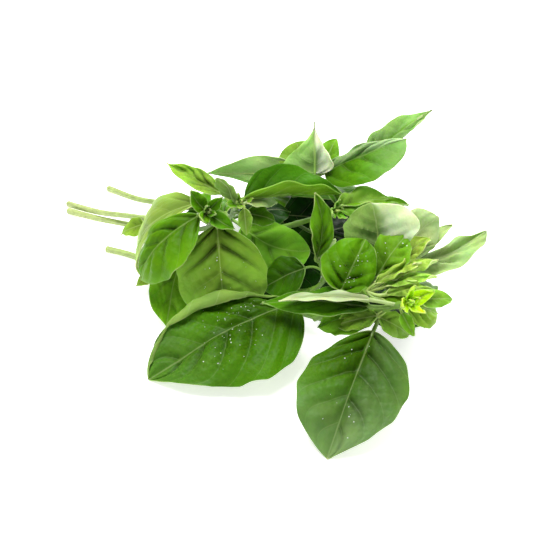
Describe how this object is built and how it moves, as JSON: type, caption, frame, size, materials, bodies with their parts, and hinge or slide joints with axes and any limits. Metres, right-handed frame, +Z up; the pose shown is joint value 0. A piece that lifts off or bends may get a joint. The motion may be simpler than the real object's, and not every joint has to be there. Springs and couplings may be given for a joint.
{
  "type": "italian basil",
  "caption": "Cut bunch of fresh Italian basil: leafy green stems lying across each other, cut ends at one side.",
  "frame": {"origin": "middle of the bunch's footprint, on the surface that it lies on", "axes": "+Z up, +X from the cut stem ends at the left towards the growing tips at the right, -Y towards the picture's camera"},
  "size_m": [0.229, 0.2214, 0.0938],
  "materials": {
    "basil_leaf": "fresh waxy leaf, soft gloss"
  },
  "bodies": {
    "root": {"sprig_left": "basil_leaf", "sprig_middle": "basil_leaf", "sprig_back": "basil_leaf", "sprig_right": "basil_leaf", "sprig_inner": "basil_leaf", "sprig_front": "basil_leaf"}
  },
  "joints": []
}
